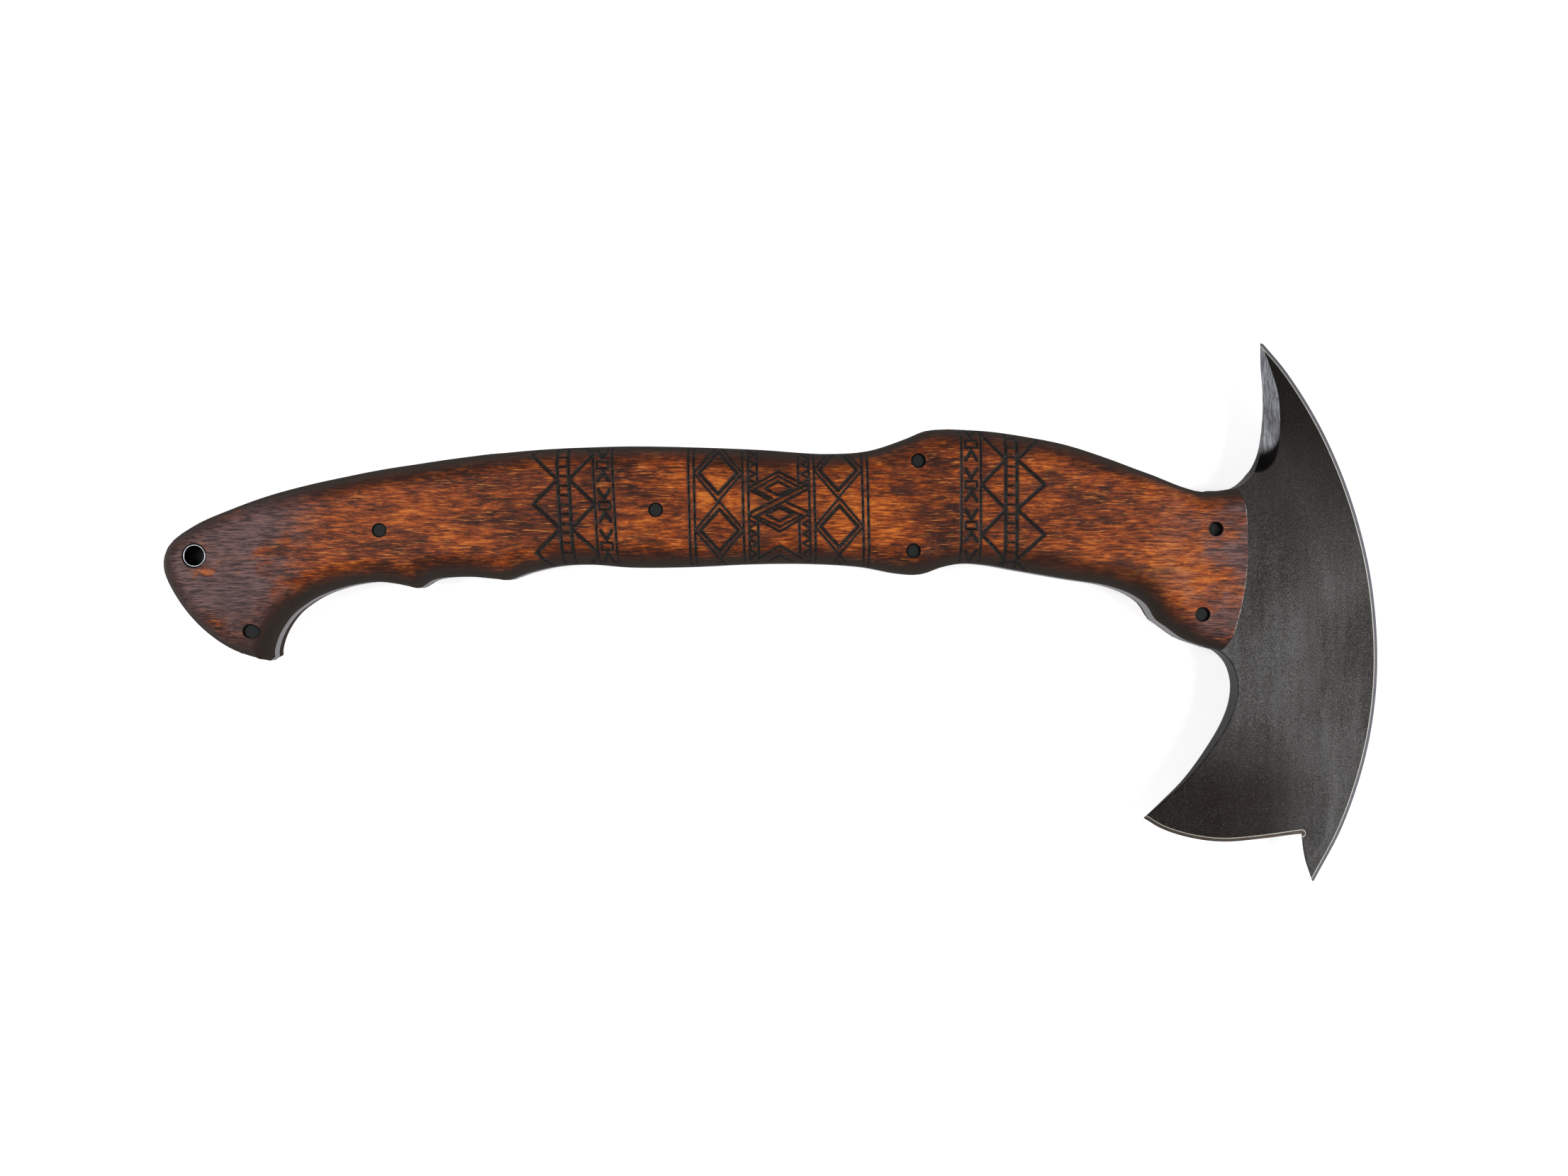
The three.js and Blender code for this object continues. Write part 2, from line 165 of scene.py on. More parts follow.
# head ribs: (rear x, rear y, length along the cutting edge to the matching point)
SPIKE_RIBS = (
    (149.3, 76.7, 0.4),
    (149.4, 69.5, 9.5),
    (150.0, 62.0, 19),
    (150.3, 55.0, 27),
    (149.9, 48.0, 35),
    (148.5, 41.0, 43),
    (145.7, 35.3, 51),
    (141.4, 31.6, 57),
    (136.5, 30.3, 62),
    (131.0, 30.1, 67),
)
ROOT_RIBS = ((131.0, 30.1, 67), (131.0, -18.4, 100))
BEARD_BACK_RIBS = (
    (131.0, -18.4, 100),
    (134.9, -19.5, 106),
    (138.8, -23.2, 111),
    (140.8, -28.8, 116),
    (140.6, -34.8, 121),
    (138.3, -41.6, 127),
    (132.9, -50.6, 134),
    (125.4, -60.3, 142),
    (118.3, -67.1, 149),
    (112.7, -72.1, 154),
)
BEARD_EDGE_RIBS = (
    (112.7, -72.1, 154),
    (118.3, -75.4, 156.5),
    (127.0, -78.2, 158.2),
    (137.5, -79.5, 159.5),
    (150.0, -78.5, 160.8),
    (162.2, -76.8, 164),
)
LOWER_POINT_RIBS = ((162.2, -76.8, 164), (163.3, -83.5, 172), (165.6, -91.8, 181))
HEAD_PANELS = (
    (SPIKE_RIBS, 110),
    (ROOT_RIBS, 30),
    (BEARD_BACK_RIBS, 110),
    (BEARD_EDGE_RIBS, 70),
    (LOWER_POINT_RIBS, 24),
)

# ---- placing ----

TUBE_LOW, TUBE_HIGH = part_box("lanyard_tube")
# where the design's origin, at table height, lies in the frame
PLACE = np.array(
    [
        (TUBE_LOW.x + TUBE_HIGH.x) / 2 - TUBE_CENTRE[0] * MM,
        (TUBE_LOW.y + TUBE_HIGH.y) / 2 - TUBE_CENTRE[1] * MM,
        0,
    ]
)


def add_mesh(name, points, faces, node):
    """A mesh from points in design millimetres, kept inside the box of its CAD node."""
    low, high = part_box(node)
    world = np.clip(np.asarray(points) * MM + PLACE, np.array(low), np.array(high))
    mesh = bpy.data.meshes.new(name)
    mesh.from_pydata(world.tolist(), [], faces)
    piece = bpy.data.objects.new(name, mesh)
    bpy.context.scene.collection.objects.link(piece)
    return piece


def design_points(piece):
    """The piece's vertices in design millimetres."""
    flat = np.empty(len(piece.data.vertices) * 3)
    piece.data.vertices.foreach_get("co", flat)
    return (flat.reshape(-1, 3) - PLACE) / MM


def store(piece, name, values):
    """Keeps one value per vertex for the materials to read."""
    attribute = piece.data.attributes.new(name, "FLOAT", "POINT")
    attribute.data.foreach_set("value", np.asarray(values, np.float32))


def finish_piece(piece, node, material, crease):
    piece.data.materials.clear()
    piece.data.materials.append(material)
    piece.data.shade_smooth()
    piece.data.set_sharp_from_angle(angle=math.radians(crease))
    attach(piece, "root")
    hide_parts(node)


# ---- curves and distances ----

SAMPLES_PER_POINT = 40


def smooth_curve(points, places):
    """Centripetal Catmull-Rom curve through the points; place 2.5 is midway from point 2 to 3."""
    points = np.asarray(points, float)
    ends = 2 * points[0] - points[1], 2 * points[-1] - points[-2]
    padded = np.vstack([ends[0], points, ends[1]])
    start = np.clip(np.floor(places).astype(int), 0, len(points) - 2)
    t = (places - start)[:, None]
    a, b, c, d = (padded[start + k] for k in range(4))
    knot = [np.sqrt(np.linalg.norm(q - p, axis=1))[:, None] for p, q in ((a, b), (b, c), (c, d))]
    out = ((b - a) / knot[0] - (c - a) / (knot[0] + knot[1]) + (c - b) / knot[1]) * knot[1]
    into = ((c - b) / knot[1] - (d - b) / (knot[1] + knot[2]) + (d - c) / knot[2]) * knot[1]
    bend = -3 * b + 3 * c - 2 * out - into
    twist = 2 * b - 2 * c + out + into
    return b + t * (out + t * (bend + t * twist))


def fine_curve(points):
    """The same curve as many points, with the length of the curve up to each of them."""
    samples = SAMPLES_PER_POINT * len(points)
    fine = smooth_curve(points, np.linspace(0, len(points) - 1, samples))
    steps = np.linalg.norm(np.diff(fine, axis=0), axis=1)
    return fine, np.concatenate([[0], np.cumsum(steps)])


def even_curve(points, count):
    """The same curve as evenly spaced points."""
    fine, length = fine_curve(points)
    wanted = np.linspace(0, length[-1], count)
    return np.column_stack([np.interp(wanted, length, fine[:, k]) for k in range(2)])


def segment_distance(xy, starts, ends, widths=0, block=4000):
    """Distance from each point to the nearest segment, less that segment's half width."""
    span = ends - starts
    size = np.maximum((span**2).sum(1), 1e-9)
    nearest = np.empty(len(xy))
    for k in range(0, len(xy), block):
        offset = xy[k : k + block, None, :] - starts[None]
        along = np.clip((offset * span).sum(2) / size, 0, 1)
        gap = np.linalg.norm(offset - along[..., None] * span, axis=2)
        nearest[k : k + block] = (gap - widths).min(1)
    return nearest


def line_distance(xy, line):
    """Distance from each point to a line of many points."""
    return segment_distance(xy, line[:-1], line[1:])


def handle_sides(places):
    """The handle's belly and back outlines at the rib places."""
    belly = smooth_curve([rib[2:] for rib in HANDLE_RIBS], places)
    back = smooth_curve([rib[:2] for rib in HANDLE_RIBS], places)
    return belly, back


# ---- shared mesh builders ----


def plate_half_thickness(x):
    """The tang is thickest at the head and thins evenly towards the pommel."""
    t = (TAPER_START_X - np.minimum(x, TAPER_START_X)) / (TAPER_START_X - TAPER_END_X)
    return (HEAD_THICKNESS + (POMMEL_TANG_THICKNESS - HEAD_THICKNESS) * t) / 2


def slab(grid, lower, upper, lower_columns=None):
    """A closed shell from plan rows. Its lower face keeps only the columns asked for."""
    rows, columns = grid.shape[:2]
    kept = list(range(columns)) if lower_columns is None else lower_columns
    flat = grid.reshape(-1, 2)
    top = np.column_stack([flat, upper(flat)])
    base = grid[:, kept].reshape(-1, 2)
    points = np.vstack([top, np.column_stack([base, lower(base)])])
    offset = rows * columns
    width = len(kept)
    faces = []
    for i in range(rows - 1):
        for j in range(columns - 1):
            a = i * columns + j
            faces.append((a, a + 1, a + columns + 1, a + columns))
        for j in range(width - 1):
            a = offset + i * width + j
            faces.append((a, a + width, a + width + 1, a + 1))
        # the walls at the two ends of the row
        a, b = i * columns, offset + i * width
        faces.append((a + columns, b + width, b, a))
        a, b = a + columns - 1, b + width - 1
        faces.append((a, b, b + width, a + columns))
    for i, turn in ((0, False), (rows - 1, True)):
        upper_row = [i * columns + j for j in range(columns)]
        lower_row = [offset + i * width + j for j in range(width)]
        wall = lower_row + upper_row[::-1]
        faces.append(tuple(wall[::-1] if turn else wall))
    return points, faces


def revolve(profile, centre, sides):
    """A closed ring of (radius, height) points turned around an upright axis."""
    angles = np.linspace(0, 2 * math.pi, sides, endpoint=False)
    points = [
        (centre[0] + r * math.cos(a), centre[1] + r * math.sin(a), z)
        for a in angles
        for r, z in profile
    ]
    count = len(profile)
    faces = []
    for i in range(sides):
        for j in range(count):
            a, b = i * count, ((i + 1) % sides) * count
            k = (j + 1) % count
            faces.append((a + j, b + j, b + k, a + k))
    return points, faces


def solid_pin(radius, chamfer, centre, low_z, high_z, sides):
    """An upright pin with chamfered ends."""
    profile = (
        (radius - chamfer, low_z),
        (radius, low_z + chamfer),
        (radius, high_z - chamfer),
        (radius - chamfer, high_z),
    )
    angles = np.linspace(0, 2 * math.pi, sides, endpoint=False)
    points = [
        (centre[0] + r * math.cos(a), centre[1] + r * math.sin(a), z)
        for r, z in profile
        for a in angles
    ]
    faces = [tuple(reversed(range(sides)))]
    for ring in range(len(profile) - 1):
        for i in range(sides):
            k = (i + 1) % sides
            a, b = ring * sides, (ring + 1) * sides
            faces.append((a + i, a + k, b + k, b + i))
    faces.append(tuple(range((len(profile) - 1) * sides, len(profile) * sides)))
    return points, faces


def pin_centres():
    """Every pin's node name, its plan centre in design millimetres and its two end heights."""
    found = {}
    for name in frame["nodes"]:
        if name.endswith("_pin"):
            low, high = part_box(name)
            x = ((low.x + high.x) / 2 - PLACE[0]) / MM
            y = ((low.y + high.y) / 2 - PLACE[1]) / MM
            found[name] = (x, y, low.z / MM, high.z / MM)
    return found


PINS = pin_centres()
PIN_HOLE_GAP = 0.13
TUBE_HOLE_GAP = 0.18
HOLE_SIDES = 48
CUTTER_CHAMFER = 0.01
CUTTER_OVERRUN = 1
# every hole's plan centre and radius
HOLES = [(x, y, PIN_RADIUS + PIN_HOLE_GAP) for x, y, _, _ in PINS.values()]
HOLES.append((*TUBE_CENTRE, TUBE_RADIUS + TUBE_HOLE_GAP))


def hole_distance(xy):
    """Distance from the wall of the nearest hole."""
    gaps = [np.hypot(xy[:, 0] - x, xy[:, 1] - y) - radius for x, y, radius in HOLES]
    return np.min(gaps, axis=0)


def combine(piece, other, operation):
    """Joins the other piece to this one, or cuts it out of it, and removes the other."""
    step = piece.modifiers.new(operation, "BOOLEAN")
    step.operation = operation
    step.solver = "MANIFOLD"
    step.object = other
    seen = bpy.context.evaluated_depsgraph_get()
    result = bpy.data.meshes.new_from_object(piece.evaluated_get(seen))
    piece.modifiers.clear()
    spent = [piece.data, other.data]
    piece.data = result
    bpy.data.objects.remove(other)
    for mesh in spent:
        bpy.data.meshes.remove(mesh)


def cut_holes(piece):
    """Cuts the holes of the pins and the tube through a piece."""
    points, faces = [], []
    foot, top = -CUTTER_OVERRUN, TOTAL_THICKNESS + CUTTER_OVERRUN
    for x, y, radius in HOLES:
        more, their_faces = solid_pin(radius, CUTTER_CHAMFER, (x, y), foot, top, HOLE_SIDES)
        offset = len(points)
        points += more
        faces += [tuple(offset + i for i in face) for face in their_faces]
    mesh = bpy.data.meshes.new("cutter")
    mesh.from_pydata((np.asarray(points) * MM + PLACE).tolist(), [], faces)
    cutter = bpy.data.objects.new("cutter", mesh)
    bpy.context.scene.collection.objects.link(cutter)
    combine(piece, cutter, "DIFFERENCE")


# ---- steel plate ----

# the head's outlines as evenly spaced points
MAIN_LINE = even_curve(MAIN_EDGE, 240)
MAIN_LENGTH = fine_curve(MAIN_EDGE)[1][-1]
BEARD_LINE = even_curve([rib[:2] for rib in BEARD_EDGE_RIBS], 80)
SPIKE_LINE = even_curve([rib[:2] for rib in SPIKE_RIBS], 120)
REAR_LINE = even_curve([rib[:2] for rib in BEARD_BACK_RIBS], 160)

# distances of the mesh columns from the cutting edge, then from the rear outline
FRONT_LEVELS = (
    0, 0.4, 0.8, 1.25, 1.7, 2.1, 3, 4.2, 5.5, 7,
    9, 11, 13, 14.5, 15.5, 17, 19, 22, 26, 30,
)
REAR_LEVELS = (
    7, 6, 5.3, 4.9, 4.6, 4.4, 3.9, 3.4, 2.9,
    2.4, 1.9, 1.5, 1.2, 0.8, 0.45, 0.3, 0.15, 0,
)
MIDDLE_LEVELS = 14
REAR_CHAMFER = 0.3
# rows shorter than this squeeze their levels
LEVEL_SPAN = 1.15 * (MAIN_GRIND_RUNOUT + SWEDGE_WIDTH)
TANG_OVERLAP = 0.2
TANG_STATIONS = 400


def swedge_height(xy):
    """How far a point lies above the foot of the swedge's round plunge."""
    d = np.minimum(line_distance(xy, SPIKE_LINE), SWEDGE_WIDTH)
    foot = SWEDGE_END_Y + SWEDGE_END_RISE * (1 - np.sqrt(1 - (d / SWEDGE_WIDTH) ** 2))
    return xy[:, 1] - foot


def swedge_depth(xy):
    """How far a point lies inside the swedge's inner border; the facet narrows to the tip."""
    narrowing = np.clip((xy[:, 1] - SWEDGE_TAPER_Y) / (SWEDGE_TIP_Y - SWEDGE_TAPER_Y), 0, 1) ** 2
    return SWEDGE_WIDTH * (1 - narrowing) - line_distance(xy, SPIKE_LINE)


def head_half_thickness(xy):
    """Half the head's thickness with its grinds, bevels, swedge and rear chamfer."""
    full = HEAD_THICKNESS / 2
    d = line_distance(xy, MAIN_LINE)
    main = np.interp(
        d,
        (0, EDGE_BEVEL_WIDTH, MAIN_GRIND_WIDTH, MAIN_GRIND_RUNOUT),
        (EDGE_HALF_THICKNESS, EDGE_BEVEL_HALF_THICKNESS, MAIN_GRIND_HALF_THICKNESS, full),
    )
    d = line_distance(xy, BEARD_LINE)
    t = np.clip((d - BEARD_BEVEL_WIDTH) / (BEARD_GRIND_WIDTH - BEARD_BEVEL_WIDTH), 0, 1)
    rise = 1 - (1 - t) ** BEARD_GRIND_POWER
    convex = BEARD_BEVEL_HALF_THICKNESS + (full - BEARD_BEVEL_HALF_THICKNESS) * rise
    bevel = np.interp(
        d, (0, BEARD_BEVEL_WIDTH), (EDGE_HALF_THICKNESS, BEARD_BEVEL_HALF_THICKNESS)
    )
    beard = np.where(d < BEARD_BEVEL_WIDTH, bevel, convex)
    ground = np.minimum(main, beard)
    depth = np.maximum(swedge_depth(xy), 0)
    rest = 1 - np.clip(swedge_height(xy) / SWEDGE_PLUNGE, 0, 1)
    thinned = ground - depth * SWEDGE_SLOPE * np.sqrt(1 - rest**2)
    rear = line_distance(xy, REAR_LINE)
    thinned -= np.maximum(REAR_CHAMFER - rear, 0)
    return np.maximum(thinned, np.minimum(ground, 2 * EDGE_HALF_THICKNESS))


def head_grid():
    """Plan rows from the cutting edge to the rear outline, from the spike to the lower point."""
    rows = []
    for number, (ribs, stations) in enumerate(HEAD_PANELS):
        places = np.linspace(0, len(ribs) - 1, stations + 1)[0 if number == 0 else 1 :]
        rear = smooth_curve([rib[:2] for rib in ribs], places)
        along = np.interp(places, range(len(ribs)), [rib[2] for rib in ribs])
        share = along / MAIN_LENGTH * (len(MAIN_LINE) - 1)
        front = np.column_stack(
            [np.interp(share, range(len(MAIN_LINE)), MAIN_LINE[:, k]) for k in range(2)]
        )
        for a, b in zip(front, rear):
            span = np.linalg.norm(b - a)
            squeeze = min(1, span / LEVEL_SPAN) / span
            near = [d * squeeze for d in FRONT_LEVELS]
            far = [1 - d * squeeze for d in REAR_LEVELS]
            middle = np.linspace(near[-1], far[0], MIDDLE_LEVELS)[1:-1]
            shares = np.array([*near, *middle, *far])[:, None]
            rows.append(a + (b - a) * shares)
    return np.array(rows)


def tang_grid():
    """Plan rows from belly to back; the first overlaps the head, which it is joined to."""
    joint = TAPER_START_X + TANG_OVERLAP
    rows = [[(joint, ROOT_RIBS[1][1]), (joint, ROOT_RIBS[0][1])]]
    places = np.linspace(0, len(HANDLE_RIBS) - 1, TANG_STATIONS)
    for a, b in zip(*handle_sides(places)):
        if max(a[0], b[0]) < TAPER_START_X:
            rows.append([a, b])
    return np.array(rows)


def steel_plate(material):
    head, faces = slab(
        head_grid(),
        lambda xy: MID_Z - head_half_thickness(xy),
        lambda xy: MID_Z + head_half_thickness(xy),
    )
    tang, tang_faces = slab(
        tang_grid(),
        lambda xy: MID_Z - plate_half_thickness(xy[:, 0]),
        lambda xy: MID_Z + plate_half_thickness(xy[:, 0]),
    )
    piece = add_mesh("steel_plate", head, faces, "blade_and_tang")
    combine(piece, add_mesh("tang", tang, tang_faces, "blade_and_tang"), "UNION")
    cut_holes(piece)
    xyz = design_points(piece)
    xy = xyz[:, :2]
    store(piece, "edge_distance", line_distance(xy, MAIN_LINE))
    store(piece, "beard_distance", line_distance(xy, BEARD_LINE))
    store(piece, "swedge_depth", swedge_depth(xy))
    store(piece, "swedge_height", swedge_height(xy))
    store(piece, "design_x", xyz[:, 0])
    store(piece, "design_y", xyz[:, 1])
    finish_piece(piece, "blade_and_tang", material, crease=25)


# ---- carved lines ----

# every straight stroke: (start x, start y, end x, end y, half width)
CARVED = []


def carve(points, width):
    """One carved stroke through the points."""
    for a, b in zip(points[:-1], points[1:]):
        CARVED.append((*a, *b, width / 2))


HANDLE_MIDDLE_Y = 25.3
BAND_TOP = 52
BAND_FOOT = 2
# widths of the strokes
MAIN_CUT = 0.95
FINE_CUT = 0.62
RUNG_CUT = 0.5
LADDER_HALF_WIDTH = 1.7
RUNG_STEP = 2.88
MARK_PERIOD = 12.35
MARK_INSET = 1.2
CHEVRON_TIP = 2.0
CHEVRON_FOOT = 4.8
SQUARE_HALF = 1.1
TOOTH_HALF = 1.3
# from the outer to the inner line of a double-lined diamond
INNER_DIAMOND_X = 1.6
INNER_DIAMOND_Y = 2.3
CHEVRON_SLOPE = 0.56
# how far the bands' lines run back towards the pommel for each millimetre upwards
GRIP_LEAN = 0.056
MIDDLE_LEAN = 0.024
NECK_LEAN = 0


def leaned(points, lean):
    """The points moved along the handle, more the further they are from its middle."""
    return [(x + lean * (HANDLE_MIDDLE_Y - y), y) for x, y in points]


def upright_line(x, lean, width=MAIN_CUT):
    """A line over the handle's whole width."""
    carve(leaned([(x, BAND_TOP), (x, BAND_FOOT)], lean), width)


def zigzag(inner_x, outer_x, outer_y, half_period, lean):
    """A zigzag over the whole width; one of its outer corners is at outer_y."""
    corners = []
    for k in range(-4, 5):
        corners.append((outer_x if k % 2 == 0 else inner_x, outer_y + k * half_period))
    carve(leaned(corners, lean), MAIN_CUT)


def ladder(x, half_width, lean):
    """Two upright lines with rungs between them."""
    for side in (-1, 1):
        upright_line(x + side * half_width, lean)
    for k in range(-9, 10):
        y = HANDLE_MIDDLE_Y + k * RUNG_STEP
        carve(leaned([(x - half_width, y), (x + half_width, y)], lean), RUNG_CUT)


def mark_column(left, right, first_y, lean):
    """A column of small squares, each between two chevrons that point at it."""
    upright_line(left, lean, FINE_CUT)
    upright_line(right, lean, FINE_CUT)
    a, b = left + MARK_INSET, right - MARK_INSET
    middle = (a + b) / 2
    for k in range(-3, 4):
        y = first_y + k * MARK_PERIOD
        for side in (-1, 1):
            foot, tip = y + side * CHEVRON_FOOT, y + side * CHEVRON_TIP
            carve(leaned([(a, foot), (middle, tip), (b, foot)], lean), MAIN_CUT)
        low, high = y - SQUARE_HALF, y + SQUARE_HALF
        square = [(a, low), (b, low), (b, high), (a, high), (a, low)]
        carve(leaned(square, lean), FINE_CUT)


def ladder_band(x, zigzag_reach, outer_y, half_period, lean):
    """A ladder with a zigzag on either side."""
    ladder(x, LADDER_HALF_WIDTH, lean)
    for side, reach in zip((-1, 1), zigzag_reach):
        inner, outer = x + side * LADDER_HALF_WIDTH, x + side * reach
        zigzag(inner, outer, outer_y, half_period, lean)


def diamond(x, y, half_width, half_height, width):
    """One diamond around (x, y), cut this wide."""
    corners = [(x, y + half_height), (x + half_width, y), (x, y - half_height)]
    corners += [(x - half_width, y), (x, y + half_height)]
    carve(corners, width)


def diamond_column(left, right, first_y, period, lean):
    """Double-lined diamonds that touch at their corners."""
    for k in range(-2, 3):
        y = first_y - k * period
        x = (left + right) / 2 + lean * (HANDLE_MIDDLE_Y - y)
        half = (right - left) / 2
        diamond(x, y, half, period / 2, FINE_CUT)
        diamond(x, y, half - INNER_DIAMOND_X, period / 2 - INNER_DIAMOND_Y, MAIN_CUT)


def sawtooth(base_x, tip_x, ys, lean):
    """A column of small teeth with their tips at the given heights."""
    for y in ys:
        tooth = [(base_x, y + TOOTH_HALF), (tip_x, y), (base_x, y - TOOTH_HALF)]
        carve(leaned(tooth, lean), FINE_CUT)


def centre_panel(left, right, lean):
    """Two interlaced diamonds between short sawtooth columns, with chevrons at both ends."""
    x = (left + right) / 2
    for rail in (left + 2.75, right - 3.2):
        carve(leaned([(rail, BAND_TOP), (rail, 31.5)], lean), FINE_CUT)
        carve(leaned([(rail, 20.8), (rail, 9.5)], lean), FINE_CUT)
    for base, tip in ((left, left + 2.2), (right, right - 2.2)):
        sawtooth(base, tip, (43.6, 40.6, 37.6, 34.6, 31.8), lean)
        sawtooth(base, tip, (19.5, 16.5, 13.5, 10.5, 7.5), lean)
    # the strap's outline runs around both diamonds and crosses between them
    carve([(left, 30.3), (x - 0.3, 35.3), (right - 0.3, 30.7)], FINE_CUT)
    carve([(left + 1.6, 29.9), (x - 0.3, 33.9), (right - 2.2, 30.1)], RUNG_CUT)
    carve([(left + 0.3, 22.1), (x + 0.3, 17.1), (right - 0.2, 22.4)], FINE_CUT)
    carve([(left + 2.0, 21.9), (x + 0.3, 18.6), (right - 2.2, 22.2)], RUNG_CUT)
    carve([(left + 0.4, 22.7), (right - 0.4, 31.7)], FINE_CUT)
    carve([(left + 2.2, 21.7), (right, 30.3)], FINE_CUT)
    carve([(left + 0.2, 29.8), (x - 3.0, 26.7)], FINE_CUT)
    carve([(left + 1.8, 29.9), (x - 2.2, 27.2)], FINE_CUT)
    carve([(x + 2.4, 25.9), (right - 0.3, 23.0)], FINE_CUT)
    carve([(x + 0.8, 24.7), (right - 2.2, 21.9)], FINE_CUT)
    diamond(x - 0.2, 30.2, 4.0, 2.1, FINE_CUT)
    diamond(x + 0.1, 22.3, 4.0, 2.1, FINE_CUT)
    # nested chevrons that point at the diamonds, from below and from above
    for side, tip_x, tips in ((-1, x + 0.3, (12.8, 10.2)), (1, x - 0.3, (46.0, 42.6))):
        for tip_y, reach in zip(tips, (6.8, 4.0)):
            foot = tip_y + side * reach * CHEVRON_SLOPE
            carve([(tip_x - reach, foot), (tip_x, tip_y), (tip_x + reach, foot)], FINE_CUT)


def carve_bands():
    """All the bands, from the pommel to the head."""
    ladder_band(-66.55, (9.4, 9.3), 25.5, 7.45, GRIP_LEAN)
    mark_column(-57.3, -51.5, 25.0, GRIP_LEAN)
    for x in (-28.8, -27.15, -12.4, -10.75, 7.7, 9.3, 23.9, 25.5):
        upright_line(x, MIDDLE_LEAN, FINE_CUT)
    diamond_column(-27.15, -12.4, 34.9, 17.4, MIDDLE_LEAN)
    centre_panel(-10.75, 7.7, MIDDLE_LEAN)
    diamond_column(9.3, 23.9, 35.9, 17.2, MIDDLE_LEAN)
    mark_column(53.8, 59.7, 31.3, NECK_LEAN)
    ladder_band(68.95, (9.0, 10.1), 31.4, 7.6, NECK_LEAN)


# ---- handle scales ----

CARVED_DEPTH = 0.45
# a groove's wall starts this far outside its stroke and is this wide
CARVED_SHOULDER = 0.125
CARVED_WALL = 0.55
# grooves and chamfer die out this close to the sides
CARVED_RUNOUT = 1.2
CHAMFER_RUNOUT = 2
# the outer face falls no further than this below the side wall's top
WALL_MARGIN = 0.1

# fine rows where the lines are carved, coarse rows elsewhere: (from x, to x)
BAND_SPANS = ((-78, -49), (-31, 28), (51, 81))
FINE_STEP = 0.3
COARSE_STEP = 1.15
END_STEP = 0.15
END_ROWS_REACH = 1.2
SAMPLED_PLACES = 6000
EDGE_LEVELS = (0, 0.02, 0.08, 0.18, 0.32, 0.5, 0.72)
MIDDLE_INSET = 1.0
MIDDLE_COLUMNS = 124
# rows shorter than this squeeze their levels
SCALE_LEVEL_SPAN = 2.4 * SCALE_ROUND_WIDTH
SIDE_POINTS = 220
CROWN_DROP = 0.5
CROWN_WIDTH = 17
END_CHAMFER = 0.45
# points this far outside a band's span are measured, against strokes this far outside it
POINT_MARGIN = 3
STROKE_MARGIN = 4
UNCARVED_DISTANCE = 9.0


def row_places():
    """Rib places of the rows, spaced by how much detail the wood has there."""
    fine = np.linspace(0, len(HANDLE_RIBS) - 1, SAMPLED_PLACES)
    belly, back = handle_sides(fine)
    middle = (back + belly) / 2
    step = np.full(len(fine), COARSE_STEP)
    for start, stop in BAND_SPANS:
        step[(middle[:, 0] > start) & (middle[:, 0] < stop)] = FINE_STEP
    travel = np.linalg.norm(np.diff(middle, axis=0), axis=1)
    from_end = np.concatenate([[0], np.cumsum(travel)])
    step[from_end < END_ROWS_REACH] = END_STEP
    rows = np.concatenate([[0], np.cumsum(travel / step[1:])])
    wanted = np.linspace(0, rows[-1], int(rows[-1]) + 1)
    return np.interp(wanted, rows, fine)


def scale_grid():
    """Plan rows from the belly edge to the back edge; the head end bows forwards."""
    places = row_places()
    belly, back = handle_sides(places)
    rows = []
    for a, b, place in zip(belly, back, places):
        span = np.linalg.norm(b - a)
        squeeze = min(1, span / SCALE_LEVEL_SPAN)
        inset = np.array(EDGE_LEVELS) * squeeze / span
        first = MIDDLE_INSET * squeeze / span
        middle = np.linspace(first, 1 - first, MIDDLE_COLUMNS)
        shares = np.concatenate([inset, middle, (1 - inset)[::-1]])[:, None]
        bulge = SCALE_END_BULGE * max(0, 1 - place / SCALE_END_BLEND) ** 2
        across = (b - a) / span
        bow = 4 * shares * (1 - shares) * bulge
        rows.append(a + (b - a) * shares + np.array([across[1], -across[0]]) * bow)
    return np.array(rows)


def carved_distance(xy):
    """Distance from the border of the nearest carved stroke, negative inside it."""
    strokes = np.array(CARVED)
    centre = (strokes[:, 0] + strokes[:, 2]) / 2
    nearest = np.full(len(xy), UNCARVED_DISTANCE)
    for start, stop in BAND_SPANS:
        inside = (xy[:, 0] > start - POINT_MARGIN) & (xy[:, 0] < stop + POINT_MARGIN)
        group = strokes[(centre > start - STROKE_MARGIN) & (centre < stop + STROKE_MARGIN)]
        nearest[inside] = segment_distance(
            xy[inside], group[:, 0:2], group[:, 2:4], group[:, 4], block=2000
        )
    return nearest


